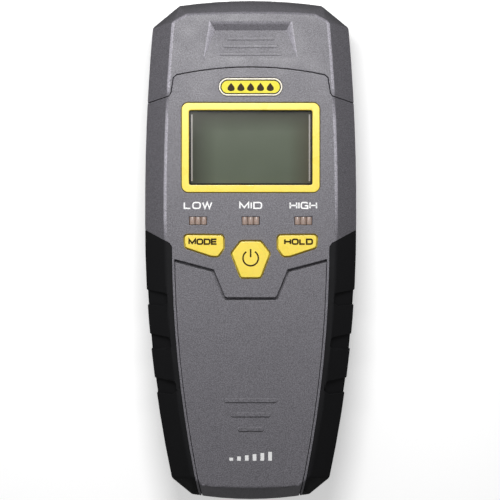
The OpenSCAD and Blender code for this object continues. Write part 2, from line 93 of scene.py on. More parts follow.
class MeterSizes(bpy.types.PropertyGroup):
    """Sizes that the CAD model doesn't hold"""
    edge: length("Edge radius", "Rounding of the moulded edges", 0.16 * MM)
    ridge: length("Ridge radius", "Rounding where the face meets its slanted bands", 0.7 * MM)
    ink: length("Ink thickness", "Height of printed marks over their surface", 0.02 * MM)
    legend: length("Legend height", "Height of the letters over the light windows", 2.15 * MM)
    key_word: length("Key word height", "Height of the letters on the side keys", 1.9 * MM)
    sign: length("Power sign", "Outer radius of the sign on the middle key", 2.5 * MM)
    grain: length("Mould grain", "Size of the grain on the moulded plastic", 0.34 * MM)
    camera: length("Camera distance", "Height of the camera over the meter's middle", 1.1)
    view: length("View width", "Width that the camera sees at the meter's middle", 0.15)


class MeterColours(bpy.types.PropertyGroup):
    """Colours of the finishes"""
    case: colour("Case", "Moulded grey of the cap, front housing and panel", "#737177")
    back: colour("Back", "Moulded grey of the rear housing and its door", "#504f53")
    grip: colour("Grips", "Black of the soft grips", "#1a1a1c")
    yellow: colour("Yellow", "Yellow of the screen frame and the keys", "#fbe05a")
    badge: colour("Badge", "Enamel of the badge", "#e8dc2e")
    rim: colour("Badge rim", "Rim of the badge", "#e4ddc6")
    screen: colour("Screen", "Display with nothing shown", "#596051")
    lens: colour("Light windows", "Unlit light windows", "#a8948a")
    ink_dark: colour("Dark ink", "Words and signs on the keys and the badge", "#2e1f04")
    ink_white: colour("White ink", "Words over the light windows", "#ffffff")


def sizes():
    return bpy.context.scene.meter_sizes


def colours():
    return bpy.context.scene.meter_colours


# Materials -----------------------------------------------------------------------------------

FLOW_MARKS = 18 * MM     # size of the faint mottle that the melt leaves in a moulding
RUBBED_PATCHES = 6 * MM  # size of the patches that handling has made shinier
GRAIN_DEPTH = 0.04 * MM
# Marked edges are painted paler, partly as rubbing by hands and partly as a painted highlight.
PALER_WEAR_AND_HIGHLIGHT = 2.6         # how many times as bright a fully worn edge is
SHINE_SPREAD = 0.06      # how far roughness strays from its middle


def feed(tree, node, inputs):
    """Fills a node's inputs: each with a value, a socket, or another node's first output in use."""
    for key, value in inputs.items():
        socket = node.inputs[key]
        if isinstance(value, bpy.types.Node):
            value = next(output for output in value.outputs if output.enabled)
        if isinstance(value, bpy.types.NodeSocket):
            tree.links.new(value, socket)
        else:
            socket.default_value = (*value[:3], 1) if socket.type == "RGBA" else value


def add(tree, kind, inputs=(), **settings):
    """One node of that kind with its settings and its inputs filled."""
    new = tree.nodes.new(kind)
    for key, value in settings.items():
        setattr(new, key, value)
    feed(tree, new, dict(inputs))
    return new


def material_of(name, values):
    """A material with one principled shader of those values, its tree and its object place."""
    material = bpy.data.materials.new(name)
    material.use_nodes = True
    tree = material.node_tree
    feed(tree, tree.nodes["Principled BSDF"], values)
    return material, tree, add(tree, "ShaderNodeTexCoord").outputs["Object"]


def finished(material, **inputs):
    """The material with those nodes joined to its principled shader, as in Base_Color=body."""
    inputs = {key.replace("_", " "): node for key, node in inputs.items()}
    feed(material.node_tree, material.node_tree.nodes["Principled BSDF"], inputs)
    return material


def moulded(name, rgb, grain, roughness=0.5, relief=0.3, wear_and_highlight=0.25, mottle=0.1, sparkle=0.12, extra=()):
    """Moulded plastic or rubber: even colour with a faint flow mottle, a grain from the mould's spark-eroded
    wall, and edges that are smoother and paler, partly rubbed pale by handling and partly a painted
    highlight."""
    material, tree, place = material_of(name, {"IOR": 1.53, **dict(extra)})
    flow = add(tree, "ShaderNodeTexNoise", {"Vector": place, "Scale": 1 / FLOW_MARKS, "Detail": 3})
    mottled = add(tree, "ShaderNodeMix", {
        "Factor": flow, COLOUR_A: rgb, COLOUR_B: shade(rgb, 1 - mottle)}, data_type="RGBA")
    # Painted highlight and rubbing: marked edges and ridges are mixed towards a paler colour.
    edge = add(tree, "ShaderNodeAttribute", attribute_name="edge").outputs["Fac"]
    share = add(tree, "ShaderNodeMath", {0: edge, 1: wear_and_highlight}, operation="MULTIPLY")
    worn_and_highlit = add(tree, "ShaderNodeMix", {
        "Factor": share, COLOUR_A: mottled, COLOUR_B: shade(rgb, PALER_WEAR_AND_HIGHLIGHT)}, data_type="RGBA")
    speck = add(tree, "ShaderNodeTexNoise", {"Vector": place, "Scale": 1.2 / grain, "Detail": 1})
    light = add(tree, "ShaderNodeMapRange", {
        "Value": speck, "From Min": 0.3, "From Max": 0.7, "To Min": 1 - sparkle, "To Max": 1 + sparkle})
    final = add(tree, "ShaderNodeHueSaturation", {"Color": worn_and_highlit, "Value": light})
    rub = add(tree, "ShaderNodeTexNoise", {"Vector": place, "Scale": 1 / RUBBED_PATCHES, "Detail": 4})
    satin = add(tree, "ShaderNodeMapRange", {
        "Value": rub, "From Min": 0.3, "From Max": 0.7, "To Min": roughness - SHINE_SPREAD,
        "To Max": roughness + SHINE_SPREAD})
    pits = add(tree, "ShaderNodeTexNoise", {"Vector": place, "Scale": 1 / grain, "Detail": 2})
    bump = add(tree, "ShaderNodeBump", {"Height": pits, "Strength": relief, "Distance": GRAIN_DEPTH})
    return finished(material, Base_Color=final, Roughness=satin, Normal=bump)


def case_abs():
    # Grey ABS from a spark-eroded mould: satin, with a fine sparkle in a raking light. The real grain is
    # about 0.1 mm and is drawn three times as coarse so that it shows.
    # Its strong edge mark paints a pale highlight along the ridges as well as rubbing.
    return moulded("moulded_grey_abs", colours().case, sizes().grain, 0.46, 0.85, 0.9, sparkle=0.4,
                   extra={"Specular IOR Level": 0.4})


def back_abs():
    # The same ABS in a darker grey, a little rougher on the side that lies on tables.
    return moulded("moulded_dark_abs", colours().back, sizes().grain, 0.52, 0.35, 0.2)


def grip_rubber():
    # Black thermoplastic rubber: dull and slightly waxy, with a coarser grain that stops the thumb
    # slipping.
    return moulded("moulded_black_rubber", colours().grip, sizes().grain * 1.3, 0.7, 0.5, 0.02,
                   extra={"Specular IOR Level": 0.15})


def yellow_abs():
    # Polished yellow ABS with a fluorescent pigment: even, with a faint painted glow that makes it brighter
    # than its light, slightly translucent so that its thin edges warm to orange, with the faint orange peel
    # of a polished mould.
    return moulded("polished_yellow_abs", colours().yellow, 1.4 * MM, 0.3, 0.12, 0.05, 0.05, 0.015, {
        "Subsurface Weight": 0.12, "Subsurface Radius": (1.2 * MM, 0.7 * MM, 0.15 * MM),
        "Subsurface Scale": 1.0, "Emission Color": colours().yellow, "Emission Strength": 0.06})


def badge_enamel():
    # Soft yellow enamel filled into the badge and stoved: satin, over a faint pigment mottle.
    return moulded("stoved_yellow_enamel", colours().badge, 1.5 * MM, 0.45, 0.06, 0.05, 0.06, 0.02,
                   {"Specular IOR Level": 0.25})


def badge_rim_plate():
    # Pale lacquered rim round the enamel, polished bright along its edge.
    return moulded("lacquered_pale_rim", colours().rim, 0.5 * MM, 0.26, 0.1, 0.3, 0.06, 0.03)


def filled_nylon():
    # Black glass-filled nylon, moulded: dull, with short pale fibres just under the skin.
    material, tree, place = material_of("moulded_glass_filled_nylon", {"IOR": 1.53})
    along = add(tree, "ShaderNodeMapping", {"Vector": place, "Scale": (1, 0.25, 1)})
    fibre = add(tree, "ShaderNodeTexNoise", {"Vector": along, "Scale": 1 / (0.25 * MM), "Detail": 1})
    shown = add(tree, "ShaderNodeMapRange", {
        "Value": fibre, "From Min": 0.55, "From Max": 0.75, "To Max": 0.3})
    body = add(tree, "ShaderNodeMix", {
        "Factor": shown, COLOUR_A: linear("#1d1d1f"),
        COLOUR_B: linear("#5a5a5c")}, data_type="RGBA")
    dull = add(tree, "ShaderNodeMapRange", {"Value": fibre, "To Min": 0.42, "To Max": 0.6})
    bump = add(tree, "ShaderNodeBump", {"Height": fibre, "Strength": 0.25, "Distance": 0.03 * MM})
    return finished(material, Base_Color=body, Roughness=dull, Normal=bump)


def small_plastic(name, code, roughness=0.45):
    # Small mouldings inside the case, each in its own colour, with the same spark-eroded grain.
    return moulded(name, linear(code), 0.4 * MM, roughness, 0.2, 0.1, 0.08, 0.05)


def worked_metal(name, code, roughness, size, stretch):
    """Ground, drawn or plated metal: fine lines across the stretched axis, and a slow change of shine."""
    material, tree, place = material_of(name, {"Metallic": 1.0})
    lines = add(tree, "ShaderNodeMapping", {"Vector": place, "Scale": stretch})
    fine = add(tree, "ShaderNodeTexNoise", {"Vector": lines, "Scale": 1 / size, "Detail": 2})
    slow = add(tree, "ShaderNodeTexNoise", {"Vector": place, "Scale": 1 / (3 * MM), "Detail": 3})
    body = add(tree, "ShaderNodeMix", {
        "Factor": slow, COLOUR_A: linear(code), COLOUR_B: shade(linear(code), 0.75)}, data_type="RGBA")
    shine = add(tree, "ShaderNodeMapRange", {
        "Value": fine, "From Min": 0.3, "From Max": 0.7, "To Min": roughness - SHINE_SPREAD,
        "To Max": roughness + 0.1})
    bump = add(tree, "ShaderNodeBump", {"Height": fine, "Strength": 0.25, "Distance": 0.02 * MM})
    return finished(material, Base_Color=body, Roughness=shine, Normal=bump)


def pin_steel():
    # Centreless-ground stainless steel: bright, with fine rings left by the wheel.
    return worked_metal("ground_stainless_steel", "#c6c9cd", 0.2, 0.12 * MM, (0.02, 1, 0.02))


def screw_steel():
    # Zinc-plated steel, cold headed: a little duller and bluish.
    return worked_metal("zinc_plated_steel", "#aeb2b8", 0.32, 0.2 * MM, (1, 1, 0.1))


def brass():
    # Half-hard brass strip, drawn lengthways and slightly tarnished.
    return worked_metal("drawn_brass", "#d9b465", 0.3, 0.15 * MM, (1, 0.02, 1))


def display_glass():
    # Reflective liquid-crystal cell under a satin polariser: grey-green, with painted shade along its upper
    # and left edges where the frame would shade them, and browner towards the right.
    material, tree, place = material_of("polarised_display_glass", {"IOR": 1.5, "Specular IOR Level": 0.3})
    low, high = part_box("lcd_glass")
    axes = add(tree, "ShaderNodeSeparateXYZ", {"Vector": place})
    cloud = add(tree, "ShaderNodeTexNoise", {"Vector": place, "Scale": 1 / (9 * MM), "Detail": 3})
    tint = add(tree, "ShaderNodeMix", {
        "Factor": cloud, COLOUR_A: colours().screen, COLOUR_B: shade(colours().screen, 0.9)},
        data_type="RGBA")
    # Painted shade along the left and upper edges; a browner tint towards the right.
    shades = (("X", high.x - 8 * MM, high.x - 2.5 * MM, 0.8, "#423b2a"),
              ("X", low.x + 9 * MM, low.x + 2.5 * MM, 0.95, "#303224"),
              ("Y", high.y - 8 * MM, high.y - 2.6 * MM, 0.95, "#2e2c1b"))
    for axis, start, end, most, code in shades:
        near = add(tree, "ShaderNodeMapRange", {
            "Value": axes.outputs[axis], "From Min": start, "From Max": end, "To Max": most})
        tint = add(tree, "ShaderNodeMix", {
            "Factor": near, COLOUR_A: tint, COLOUR_B: linear(code)}, data_type="RGBA")
    satin = add(tree, "ShaderNodeMapRange", {"Value": cloud, "To Min": 0.5, "To Max": 0.6})
    return finished(material, Base_Color=tint, Roughness=satin)


def clear_acrylic():
    # Clear acrylic window with an etched anti-glare face: the display shows through it, and lamps show
    # only as a faint haze that wipe marks make uneven.
    material = bpy.data.materials.new("etched_clear_acrylic")
    material.use_nodes = True
    tree = material.node_tree
    tree.nodes.remove(tree.nodes["Principled BSDF"])
    place = add(tree, "ShaderNodeTexCoord").outputs["Object"]
    wipes = add(tree, "ShaderNodeTexNoise", {"Vector": place, "Scale": 1 / (7 * MM), "Detail": 4})
    haze = add(tree, "ShaderNodeMapRange", {"Value": wipes, "To Min": 0.12, "To Max": 0.2})
    clear = add(tree, "ShaderNodeBsdfTransparent", {"Color": (0.97, 0.98, 0.965, 1)})
    gloss = add(tree, "ShaderNodeBsdfGlossy", {"Roughness": haze})
    share = add(tree, "ShaderNodeFresnel", {"IOR": 1.35})
    both = add(tree, "ShaderNodeMixShader", {0: share, 1: clear, 2: gloss})
    feed(tree, tree.nodes["Material Output"], {"Surface": both})
    return material


def milky_polycarbonate():
    # Moulded milky polycarbonate, unlit: pinkish beige ribs, with painted shade that turns the valleys
    # between them browner.
    material, tree, place = material_of("moulded_milky_polycarbonate", {
        "IOR": 1.58, "Roughness": 0.3, "Subsurface Weight": 0.2, "Subsurface Scale": 1.0,
        "Subsurface Radius": (0.8 * MM, 0.5 * MM, 0.4 * MM)})
    axes = add(tree, "ShaderNodeSeparateXYZ", {"Vector": place})
    # Painted shade: the colour turns browner the lower the surface lies under the face.
    valley_painted_shade = add(tree, "ShaderNodeMapRange", {
        "Value": axes.outputs["Z"], "From Min": FACE_Z - 0.5 * MM, "From Max": FACE_Z + 0.15 * MM,
        "To Min": 0.9, "To Max": 0.0})
    body = add(tree, "ShaderNodeMix", {
        "Factor": valley_painted_shade, COLOUR_A: colours().lens,
        COLOUR_B: linear("#6b5040")}, data_type="RGBA")
    ripple = add(tree, "ShaderNodeTexNoise", {"Vector": place, "Scale": 1 / (0.3 * MM), "Detail": 1})
    bump = add(tree, "ShaderNodeBump", {"Height": ripple, "Strength": 0.1, "Distance": 0.03 * MM})
    return finished(material, Base_Color=body, Normal=bump)


def printed_ink(name, rgb):
    """Pad-printed ink: matt and slightly uneven, with thin spots where the grain stood proud."""
    material, tree, place = material_of(name, {"IOR": 1.5, "Specular IOR Level": 0.15})
    thin = add(tree, "ShaderNodeTexNoise", {"Vector": place, "Scale": 1 / (0.25 * MM), "Detail": 2})
    spots = add(tree, "ShaderNodeMapRange", {
        "Value": thin, "From Min": 0.55, "From Max": 0.8, "To Max": 0.25})
    body = add(tree, "ShaderNodeMix", {
        "Factor": spots, COLOUR_A: rgb, COLOUR_B: shade(rgb, 0.6)}, data_type="RGBA")
    matt = add(tree, "ShaderNodeMapRange", {"Value": thin, "To Min": 0.4, "To Max": 0.58})
    return finished(material, Base_Color=body, Roughness=matt)


def board_laminate():
    # Glass-epoxy board under green solder mask: etched copper tracks stand a little proud and paler.
    material, tree, place = material_of("etched_green_laminate", {"IOR": 1.5, "Roughness": 0.28})
    base, track = linear("#14522f"), linear("#2f8a50")
    grid = add(tree, "ShaderNodeTexBrick", {
        "Vector": place, "Scale": 1 / (6 * MM), "Mortar Size": 0.035, "Color1": base,
        "Color2": shade(base, 0.85), "Mortar": track})
    bump = add(tree, "ShaderNodeBump", {
        "Height": grid.outputs["Fac"], "Strength": 0.3, "Distance": 0.035 * MM})
    return finished(material, Base_Color=grid, Normal=bump)


def battery_jacket():
    # Lacquered steel jacket of a block battery: dark, with a plain copper-coloured band at the terminals.
    material, tree, place = material_of("lacquered_steel_jacket", {"IOR": 1.5, "Coat Weight": 0.4})
    band_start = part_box("battery")[1].y - 13 * MM
    axes = add(tree, "ShaderNodeSeparateXYZ", {"Vector": place})
    band = add(tree, "ShaderNodeMath", {0: axes.outputs["Y"], 1: band_start}, operation="GREATER_THAN")
    body = add(tree, "ShaderNodeMix", {
        "Factor": band, COLOUR_A: linear("#26282d"), COLOUR_B: linear("#b0703a")},
        data_type="RGBA")
    dents = add(tree, "ShaderNodeTexNoise", {"Vector": place, "Scale": 1 / (4 * MM), "Detail": 4})
    gloss = add(tree, "ShaderNodeMapRange", {"Value": dents, "To Min": 0.22, "To Max": 0.42})
    bump = add(tree, "ShaderNodeBump", {"Height": dents, "Strength": 0.08, "Distance": 0.1 * MM})
    return finished(material, Base_Color=body, Roughness=gloss, Normal=bump)


def label_film():
    # Blank satin polyester label: a printed border line and a slightly wavy surface over its glue.
    material, tree, place = material_of("printed_polyester_label", {"IOR": 1.5, "Roughness": 0.4})
    low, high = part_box("back_label")
    centre, half = (low + high) / 2, (high - low) / 2
    border_w = 1.2 * MM
    axes = add(tree, "ShaderNodeSeparateXYZ", {"Vector": place})
    edges = []
    for axis, c, h in (("X", centre.x, half.x), ("Y", centre.y, half.y)):
        away = add(tree, "ShaderNodeMath", {0: axes.outputs[axis], 1: c}, operation="SUBTRACT")
        size = add(tree, "ShaderNodeMath", {0: away}, operation="ABSOLUTE")
        outer = add(tree, "ShaderNodeMath", {0: size, 1: h - border_w}, operation="GREATER_THAN")
        edges.append(outer)
    border = add(tree, "ShaderNodeMath", {0: edges[0], 1: edges[1]}, operation="MAXIMUM")
    body = add(tree, "ShaderNodeMix", {
        "Factor": border, COLOUR_A: linear("#d3d2cc"),
        COLOUR_B: linear("#8d8c88")}, data_type="RGBA")
    waves = add(tree, "ShaderNodeTexNoise", {"Vector": place, "Scale": 1 / (4 * MM), "Detail": 2})
    bump = add(tree, "ShaderNodeBump", {"Height": waves, "Strength": 0.15, "Distance": 0.05 * MM})
    return finished(material, Base_Color=body, Normal=bump)


def open_foam():
    # Open-cell polyurethane foam, cut from block: dark, dull and pitted, with cells of about half a
    # millimetre.
    material, tree, place = material_of("cut_open_cell_foam", {"Roughness": 0.95, "Specular IOR Level": 0.2})
    cells = add(tree, "ShaderNodeTexVoronoi", {"Vector": place, "Scale": 1 / (0.6 * MM)})
    body = add(tree, "ShaderNodeMix", {
        "Factor": cells, COLOUR_A: linear("#3f3f43"), COLOUR_B: linear("#151517")},
        data_type="RGBA")
    bump = add(tree, "ShaderNodeBump", {"Height": cells, "Strength": 0.8, "Distance": 0.3 * MM}, invert=True)
    return finished(material, Base_Color=body, Normal=bump)


def wire_jacket(name, code):
    # Extruded PVC insulation: soft and smooth, with a slight waviness from the extruder.
    return moulded(name, linear(code), 1.5 * MM, 0.38, 0.15, 0.1, 0.06, 0.03)


MAKERS = {
    "housing_plastic": case_abs,
    "rear_plastic": back_abs,
    "grip_rubber": grip_rubber,
    "yellow_plastic": yellow_abs,
    "badge_plate": badge_enamel,
    "badge_rim": badge_rim_plate,
    "clear_window": clear_acrylic,
    "lcd": display_glass,
    "light_lens": milky_polycarbonate,
    "black_plastic": filled_nylon,
    "steel": pin_steel,
    "screw": screw_steel,
    "brass": brass,
    "circuit_board": board_laminate,
    "battery_case": battery_jacket,
    "label": label_film,
    "foam": open_foam,
    "white_plastic": lambda: small_plastic("moulded_white_abs", "#d6d6ce"),
    "elastomer": lambda: small_plastic("moulded_orange_elastomer", "#b5542b", 0.6),
    "silicone": lambda: small_plastic("moulded_grey_silicone", "#9097a0", 0.6),
    "chips": lambda: small_plastic("moulded_black_epoxy", "#232325", 0.55),
    "led_body": lambda: small_plastic("cast_clear_epoxy", "#e9e0bf", 0.2),
    # also the finish of the pale strips painted at the display's sides as a reflection
    "edge_strip": lambda: small_plastic("laminated_grey_film", "#a39a9c", 0.4),
    "wire_red": lambda: wire_jacket("extruded_red_pvc", "#a82020"),
    "wire_black": lambda: wire_jacket("extruded_black_pvc", "#1e1e20"),
    "ink_dark": lambda: printed_ink("printed_brown_ink", colours().ink_dark),
    "ink_white": lambda: printed_ink("printed_white_ink", colours().ink_white),
    "ink_black": lambda: printed_ink("printed_black_ink", linear("#12110c")),
}
made_materials = {}


def finish_of(slot):
    """The material of a slot, made once."""
    if slot not in made_materials:
        made_materials[slot] = MAKERS[slot]()
    return made_materials[slot]


# Meshes --------------------------------------------------------------------------------------

SAME_POINT = 0.025 * MM
SLIVER = 0.02 * MM          # shorter edges are taken out
SHORTEST = 0.05 * MM        # shorter edges aren't rounded
FLAT = math.radians(0.6)    # faces that turn by less are one face
SHARP = math.radians(30)    # edges that turn by more are rounded
SLANTED = math.radians(15)  # least turn between the face and its slanted bands
SMOOTH = math.radians(32)   # edges that turn by more stay sharp in the shading
# How strongly ridges and edges are marked for paler paint: rubbing by hands, and a painted highlight that is
# strongest on the ridges.
RIDGE_HIGHLIGHT_AND_WEAR = 1.0
EDGE_WEAR_AND_HIGHLIGHT = 0.5
END_SHARE_OF_WEAR_AND_HIGHLIGHT = 0.15             # share of the wear on what looks up or down the meter


def mesh_of(bm, name):
    mesh = bpy.data.meshes.new(name)
    bm.to_mesh(mesh)
    bm.free()
    return mesh


def put(mesh, name, body, slot):
    """A finished piece in the scene, made from a mesh or a bmesh and riding on its body."""
    if isinstance(mesh, bmesh.types.BMesh):
        mesh = mesh_of(mesh, name)
    mesh.materials.clear()
    mesh.materials.append(finish_of(slot))
    piece = bpy.data.objects.new(name, mesh)
    bpy.context.scene.collection.objects.link(piece)
    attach(piece, body)
    return piece


def smooth_by_angle(mesh):
    """Smooth shading, with an edge kept sharp where its faces turn by more than SMOOTH."""
    for face in mesh.polygons:
        face.use_smooth = True
    mesh.set_sharp_from_angle(angle=SMOOTH)


def bevelled(bm, edges, offset, segments, wear_and_highlight):
    """Rounds those edges and marks the middle of the new faces, where the materials paint the edges paler:
    partly rubbing by hands and partly a painted highlight. A face that looks up or down the meter is marked
    less than one that looks sideways, as hands rub the sides most."""
    if not edges:
        return
    made = bmesh.ops.bevel(bm, geom=edges, offset=offset, offset_type="OFFSET", segments=segments,
                           profile=0.5, affect="EDGES", clamp_overlap=False, miter_outer="ARC")
    layer = bm.loops.layers.float["edge"]
    rounding = set(made["faces"])
    for face in rounding:
        face.normal_update()
        sideways = abs(face.normal.x) / max(math.hypot(face.normal.x, face.normal.y), 0.01)
        for loop in face.loops:
            inner = all(f in rounding for f in loop.vert.link_faces)
            loop[layer] = wear_and_highlight * max(sideways, END_SHARE_OF_WEAR_AND_HIGHLIGHT) if inner else 0.0


def is_ridge(e):
    """True where the flat face or back meets a slanted band."""
    if not e.is_manifold or e.calc_face_angle_signed() < SLANTED:
        return False
    at_face, at_back = 0.05 * MM, 0.15 * MM
    level = all(abs(v.co.z - FACE_Z) < at_face or v.co.z < at_back for v in e.verts)
    slanted, flat = sorted(abs(f.normal.z) for f in e.link_faces)
    return level and flat > 0.98 and 0.25 < slanted < 0.95


def rounded_copy(node, edge=None, ridge=None):
    """The node's mesh with its doubles merged and its edges rounded."""
    bm = bmesh.new()
    bm.from_mesh(frame["nodes"][node].data)
    bmesh.ops.remove_doubles(bm, verts=bm.verts, dist=SAME_POINT)
    bmesh.ops.dissolve_degenerate(bm, edges=bm.edges, dist=SLIVER)
    bmesh.ops.dissolve_limit(bm, angle_limit=FLAT, verts=bm.verts, edges=bm.edges)
    bm.loops.layers.float.new("edge")
    if ridge:
        bevelled(bm, [e for e in bm.edges if is_ridge(e)], ridge, 4, RIDGE_HIGHLIGHT_AND_WEAR)
        bm.normal_update()
    if edge:
        sharp = [e for e in bm.edges if e.is_manifold and e.calc_face_angle_signed() > SHARP
                 and e.calc_length() > SHORTEST]
        bevelled(bm, sharp, edge, 2, EDGE_WEAR_AND_HIGHLIGHT)
    return bm


def refinish(node, edge=None, ridge=None, slot=None, top=None):
    """Replaces a CAD node by its rounded copy, which reaches no higher than top."""
    bm = rounded_copy(node, edge, ridge)
    if top is not None:
        for vert in bm.verts:
            vert.co.z = min(vert.co.z, top)
    piece = put(bm, node + "_finished", BODY_OF[node], slot or SLOT_OF[node])
    smooth_by_angle(piece.data)
    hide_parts(node)
    if edge:
        piece.modifiers.new("even shading", "WEIGHTED_NORMAL").keep_sharp = True
    return piece


def solid_of(outline, low, high, place):
    """A solid drawn over an outline from low to high; place turns (u, v, height) into a point."""
    bm = bmesh.new()
    rings = [[bm.verts.new(place(u, v, h)) for u, v in outline] for h in (low, high)]
    bm.faces.new(rings[0])
    bm.faces.new(rings[1])
    for i in range(len(outline)):
        j = (i + 1) % len(outline)
        bm.faces.new((rings[0][i], rings[0][j], rings[1][j], rings[1][i]))
    bmesh.ops.recalc_face_normals(bm, faces=bm.faces)
    return bm


def upright(u, v, h):
    """An outline lies in the meter's plan."""
    return (u, v, h)


def stroke(bm, points, width, low, high):
    """Adds a line of that width along the points, closed where it comes back to its start."""
    closest, least_share = 0.001 * MM, 0.4
    closed = (points[0] - points[-1]).length < closest
    if closed:
        points = points[:-1]
    rings = []
    for i, point in enumerate(points):
        ways = []
        if closed or i > 0:
            ways.append((point - points[i - 1]).normalized())
        if closed or i < len(points) - 1:
            ways.append((points[(i + 1) % len(points)] - point).normalized())
        normals = [Vector((-way.y, way.x)) for way in ways]
        across = sum(normals, Vector((0, 0))).normalized()
        across *= width / 2 / max(least_share, across.dot(normals[0]))
        rings.append([bm.verts.new((*corner, h)) for corner in (point + across, point - across)
                      for h in (low, high)])
    after = rings[1:] + rings[:1] if closed else rings[1:]
    for a, b in zip(rings, after):
        for j, k in ((0, 1), (1, 3), (3, 2), (2, 0)):
            bm.faces.new((a[j], a[k], b[k], b[j]))
    if not closed:
        for ring in (rings[0], rings[-1]):
            bm.faces.new((ring[0], ring[1], ring[3], ring[2]))
    bmesh.ops.recalc_face_normals(bm, faces=bm.faces)


def droplet(height):
    """Outline of a drop of that height, standing on the origin with its tip up."""
    steps = 24
    return [(0.6 * height * math.sin(t) * math.sin(t / 2) ** 1.4, 0.5 * height * (1 + math.cos(t)))
            for t in (2 * math.pi * i / steps for i in range(steps))]


def arc(x, y, start, end):
    """Points round a letter's corner, in degrees."""
    radius, steps = 0.3, 4
    turns = [math.radians(start + (end - start) * i / steps) for i in range(steps + 1)]
    return [(x + radius * math.cos(t), y + radius * math.sin(t)) for t in turns]


LOOP = arc(0.7, 0.7, 0, 90) + arc(0.3, 0.7, 90, 180) + arc(0.3, 0.3, 180, 270) + arc(0.7, 0.3, 270, 360)
LETTERS = {  # width, and lines in a box of one by one
    "L": (0.85, [[(0, 1), (0, 0), (1, 0)]]),
    "O": (1.0, [LOOP + LOOP[:1]]),
    "W": (1.25, [[(0, 1), (0.25, 0), (0.5, 1), (0.75, 0), (1, 1)]]),
    "M": (1.15, [[(0, 0), (0, 1), (0.5, 0.15), (1, 1), (1, 0)]]),
    "I": (0.0, [[(0, 0), (0, 1)]]),
    "D": (1.0, [[(0, 0), (0, 1)] + arc(0.7, 0.7, 90, 0) + arc(0.7, 0.3, 0, -90) + [(0, 0)]]),
    "H": (1.0, [[(0, 0), (0, 1)], [(1, 0), (1, 1)], [(0, 0.5), (1, 0.5)]]),
    "G": (1.0, [arc(0.7, 0.7, 20, 90) + LOOP[5:15] + [(1, 0), (1, 0.45), (0.55, 0.45)]]),
    "E": (0.9, [[(1, 1), (0, 1), (0, 0), (1, 0)], [(0, 0.5), (0.95, 0.5)]]),
}


def lettering(word, height, width, line, at, level):
    """A printed word of that size and line width, centred there, from just under that level up."""
    gap = 0.36
    wide = [LETTERS[letter][0] for letter in word]
    unit = (width - line) / (sum(wide) + gap * (len(word) - 1))
    x = at.x - (width - line) / 2
    y = at.y - (height - line) / 2
    bm = bmesh.new()
    for letter, share in zip(word, wide):
        for points in LETTERS[letter][1]:
            places = [Vector((x + u * share * unit, y + v * (height - line))) for u, v in points]
            stroke(bm, places, line, level - sizes().ink, level + sizes().ink)
        x += (share + gap) * unit
    return bm


# Repeated pieces -----------------------------------------------------------------------------

def copies_tree():
    """Geometry nodes that repeat a piece: how many, where the first one's origin goes, the step and the turn
    to the next, and by how much each is longer in Y than the one before."""
    name = "copies_in_a_row_or_ring"
    if name in bpy.data.node_groups:
        return bpy.data.node_groups[name]
    tree = bpy.data.node_groups.new(name, "GeometryNodeTree")
    sockets = (("Geometry", "Geometry"), ("Count", "Int"), ("First", "Vector"), ("Step", "Vector"),
               ("Turn", "Vector"), ("Growth", "Float"), ("Finish", "Material"))
    for title, kind in sockets:
        tree.interface.new_socket(title, in_out="INPUT", socket_type="NodeSocket" + kind)
    tree.interface.new_socket("Geometry", in_out="OUTPUT", socket_type="NodeSocketGeometry")
    given = add(tree, "NodeGroupInput").outputs
    index = add(tree, "GeometryNodeInputIndex").outputs["Index"]
    row = add(tree, "GeometryNodeMeshLine", {
        "Count": given["Count"], "Start Location": given["First"], "Offset": given["Step"]}, mode="OFFSET")
    turned = add(tree, "ShaderNodeVectorMath", {0: given["Turn"], "Scale": index}, operation="SCALE")
    longer = add(tree, "ShaderNodeMath", {0: index, 1: given["Growth"], 2: 1.0}, operation="MULTIPLY_ADD")
    scale = add(tree, "ShaderNodeCombineXYZ", {"X": 1.0, "Y": longer, "Z": 1.0})
    copies = add(tree, "GeometryNodeInstanceOnPoints", {
        "Points": row, "Instance": given["Geometry"], "Rotation": turned, "Scale": scale})
    real = add(tree, "GeometryNodeRealizeInstances", {"Geometry": copies})
    painted = add(tree, "GeometryNodeSetMaterial", {"Geometry": real, "Material": given["Finish"]})
    add(tree, "NodeGroupOutput", {"Geometry": painted})
    return tree


def repeated(bm, name, body, slot, record_slot=None, **values):
    """Copies of the piece as one plain mesh. values: Count, First, Step, Turn (radians) and Growth."""
    thing = bpy.data.objects.new(name, mesh_of(bm, name))
    bpy.context.scene.collection.objects.link(thing)
    modifier = thing.modifiers.new("copies", "NODES")
    modifier.node_group = copies_tree()
    given = {"First": (0, 0, 0), "Step": (0, 0, 0), "Turn": (0, 0, 0), "Growth": 0.0,
             "Finish": finish_of(slot), **values}
    for item in modifier.node_group.interface.items_tree:
        if item.item_type == "SOCKET" and item.in_out == "INPUT" and item.name in given:
            modifier[item.identifier] = given[item.name]
    mesh = bpy.data.meshes.new_from_object(thing.evaluated_get(bpy.context.evaluated_depsgraph_get()))
    bpy.data.objects.remove(thing)
    mesh.name = name
    return put(mesh, name, body, slot)


# Operators -----------------------------------------------------------------------------------

YELLOW_ROUNDER = 1.6  # the yellow mouldings' edges are this much rounder


class METER_OT_housings(bpy.types.Operator):
    """Rounds the two housings and the lower panel"""
    bl_idname = "meter.housings"
    bl_label = "Housings"

    def execute(self, context):
        s = sizes()
        for node in ("front_housing", "lower_panel", "rear_housing"):
            refinish(node, s.edge, s.ridge)
        return {"FINISHED"}


